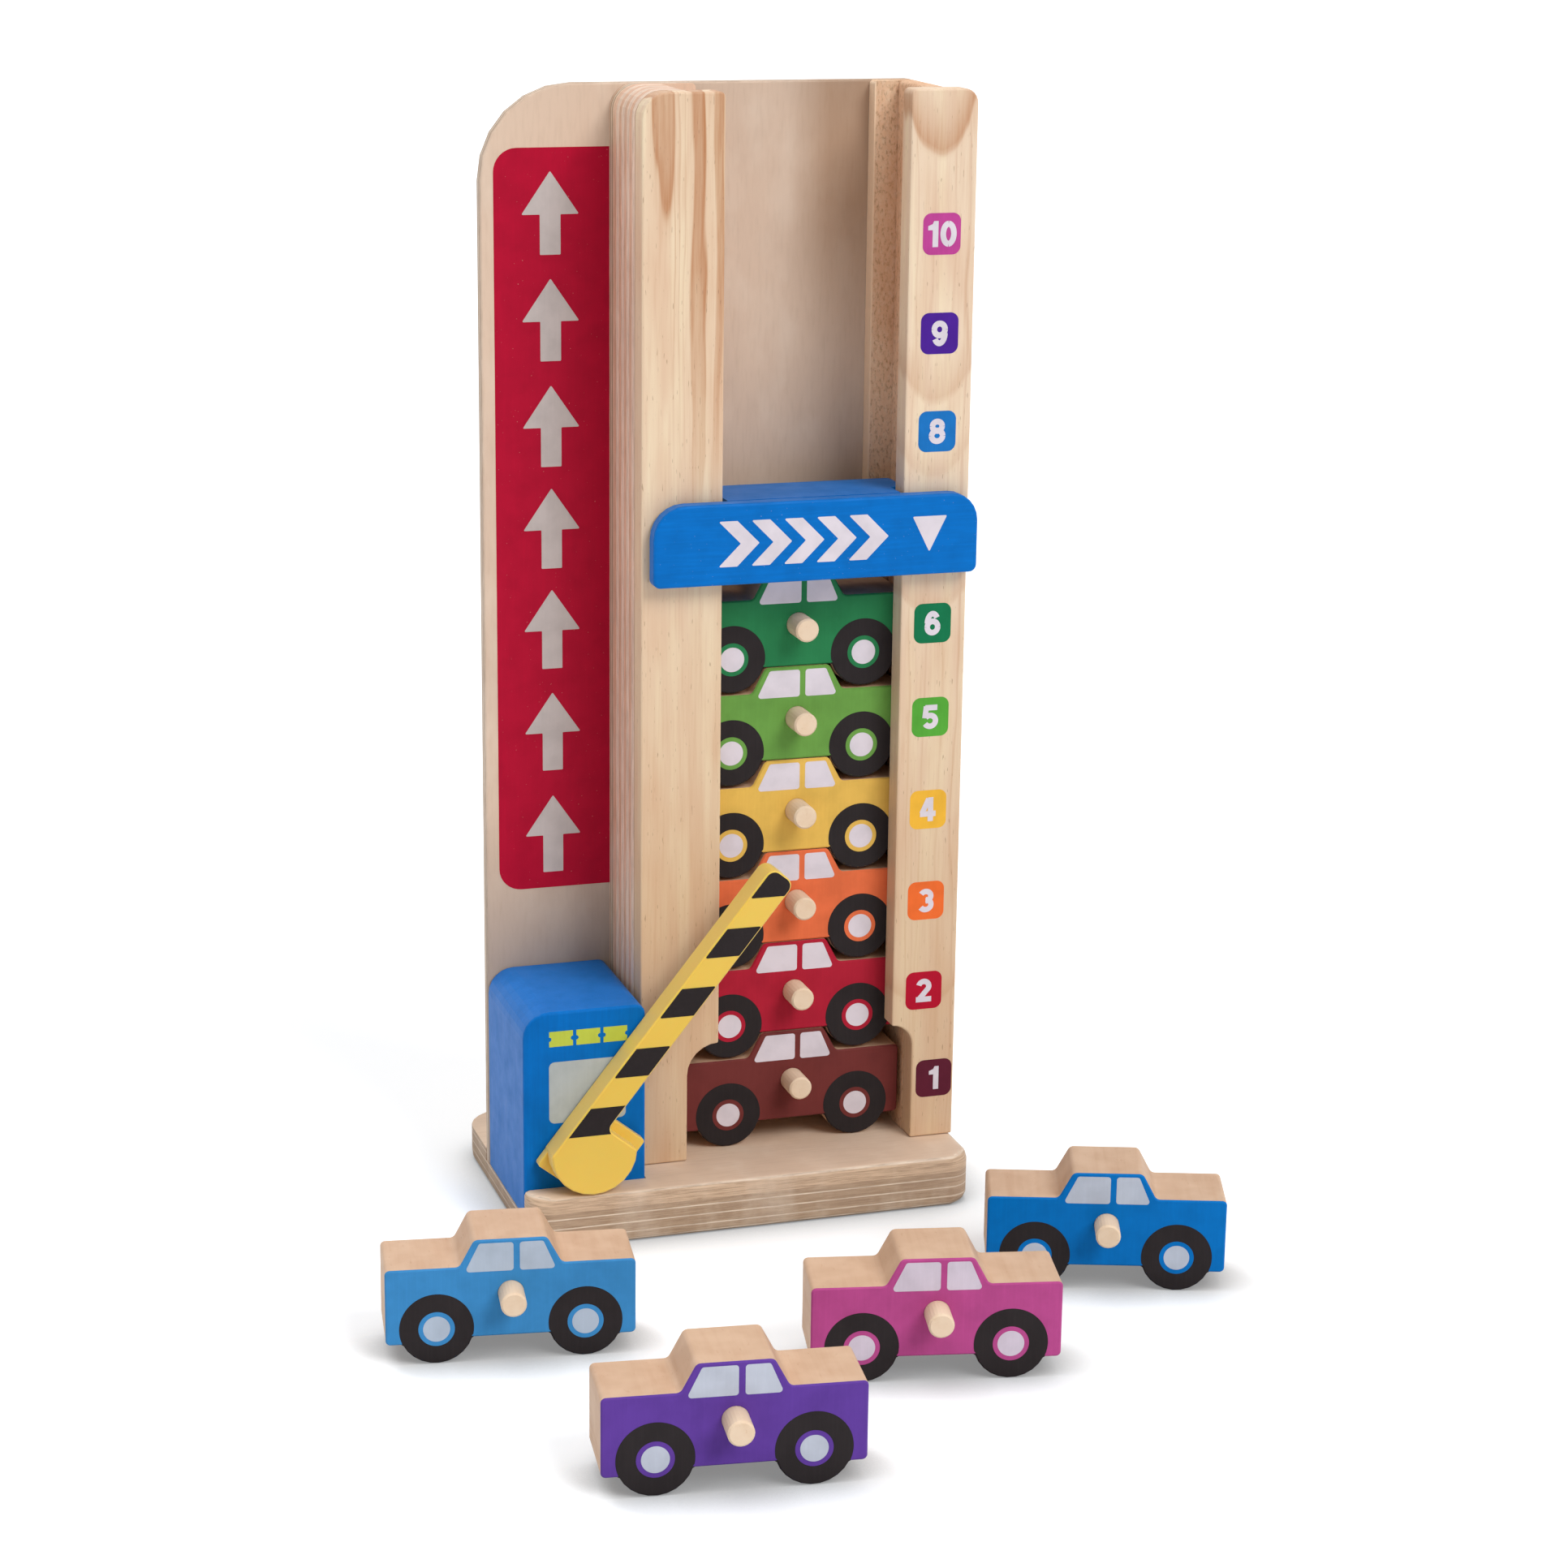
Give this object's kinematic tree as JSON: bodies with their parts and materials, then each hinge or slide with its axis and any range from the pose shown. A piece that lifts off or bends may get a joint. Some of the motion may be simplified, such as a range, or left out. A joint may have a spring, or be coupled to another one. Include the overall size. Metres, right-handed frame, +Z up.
{
  "type": "toy parking garage",
  "caption": "Wooden toy parking tower: notched posts hold a stack of cut-out cars under a sliding level marker, beside a ticket booth with a crossing gate and loose cars.",
  "frame": {"origin": "centre of the base board's underside, on the floor", "axes": "+Z up, +X to the right seen from the front, -Y to the front, where the gate and the loose cars are"},
  "size_m": [0.2898, 0.3068, 0.39],
  "materials": {
    "birch_plywood": "sanded birch plywood, clear satin lacquer",
    "pine_core": "sanded pine",
    "beech_dowel": "turned beech dowel",
    "blue_paint": "wood under blue satin paint",
    "yellow_plastic": "moulded, semi-gloss",
    "zinc_plated_steel": "bright zinc plate",
    "maroon_paint": "board with a painted front face",
    "red_paint": "board with a painted front face",
    "orange_paint": "board with a painted front face",
    "amber_paint": "board with a painted front face",
    "leaf_green_paint": "board with a painted front face",
    "dark_green_paint": "board with a painted front face",
    "sky_blue_paint": "board with a painted front face",
    "royal_blue_paint": "board with a painted front face",
    "purple_paint": "board with a painted front face",
    "magenta_paint": "board with a painted front face"
  },
  "bodies": {
    "garage": {"base_board": "birch_plywood", "back_panel": "birch_plywood", "left_stile": "birch_plywood", "right_stile": "birch_plywood", "left_spacer": "pine_core", "right_spacer": "pine_core", "left_strip": "birch_plywood", "right_strip": "birch_plywood", "ticket_booth": "blue_paint", "gate_pin": "zinc_plated_steel", "base_screw_1": "zinc_plated_steel", "base_screw_2": "zinc_plated_steel", "base_screw_3": "zinc_plated_steel", "base_screw_4": "zinc_plated_steel", "base_screw_5": "zinc_plated_steel", "base_screw_6": "zinc_plated_steel"},
    "gate": {"gate_arm": "yellow_plastic"},
    "marker": {"marker_slider": "blue_paint", "marker_plate": "blue_paint"},
    "car_1": {"car_01": "maroon_paint", "car_01_peg": "beech_dowel"},
    "car_2": {"car_02": "red_paint", "car_02_peg": "beech_dowel"},
    "car_3": {"car_03": "orange_paint", "car_03_peg": "beech_dowel"},
    "car_4": {"car_04": "amber_paint", "car_04_peg": "beech_dowel"},
    "car_5": {"car_05": "leaf_green_paint", "car_05_peg": "beech_dowel"},
    "car_6": {"car_06": "dark_green_paint", "car_06_peg": "beech_dowel"},
    "car_7": {"car_07": "sky_blue_paint", "car_07_peg": "beech_dowel"},
    "car_8": {"car_08": "royal_blue_paint", "car_08_peg": "beech_dowel"},
    "car_9": {"car_09": "purple_paint", "car_09_peg": "beech_dowel"},
    "car_10": {"car_10": "magenta_paint", "car_10_peg": "beech_dowel"}
  },
  "joints": [
    {"name": "gate_swing", "type": "hinge", "parent": "garage", "child": "gate", "pos_m": [-0.05825, -0.048, 0.03385], "axis": [0, -1, 0], "range_deg": [-51.4, 38.6]},
    {"name": "car_1_lift", "type": "slide", "parent": "garage", "child": "car_1", "axis": [0, 0, 1], "range_m": [0, 0.016]},
    {"name": "car_2_lift", "type": "slide", "parent": "car_1", "child": "car_2", "axis": [0, 0, 1], "range_m": [0, 0.016]},
    {"name": "car_3_lift", "type": "slide", "parent": "car_2", "child": "car_3", "axis": [0, 0, 1], "range_m": [0, 0.016]},
    {"name": "car_4_lift", "type": "slide", "parent": "car_3", "child": "car_4", "axis": [0, 0, 1], "range_m": [0, 0.016]},
    {"name": "car_5_lift", "type": "slide", "parent": "car_4", "child": "car_5", "axis": [0, 0, 1], "range_m": [0, 0.016]},
    {"name": "car_6_lift", "type": "slide", "parent": "car_5", "child": "car_6", "axis": [0, 0, 1], "range_m": [0, 0.016]},
    {"name": "marker_lift", "type": "slide", "parent": "car_6", "child": "marker", "axis": [0, 0, 1], "range_m": [0, 0.032]},
    {"name": "car_7_lift", "type": "slide", "parent": "garage", "child": "car_7", "axis": [0, 0, 1], "range_m": [0, 0.06]},
    {"name": "car_8_lift", "type": "slide", "parent": "garage", "child": "car_8", "axis": [0, 0, 1], "range_m": [0, 0.06]},
    {"name": "car_9_lift", "type": "slide", "parent": "garage", "child": "car_9", "axis": [0, 0, 1], "range_m": [0, 0.06]},
    {"name": "car_10_lift", "type": "slide", "parent": "garage", "child": "car_10", "axis": [0, 0, 1], "range_m": [0, 0.06]}
  ]
}
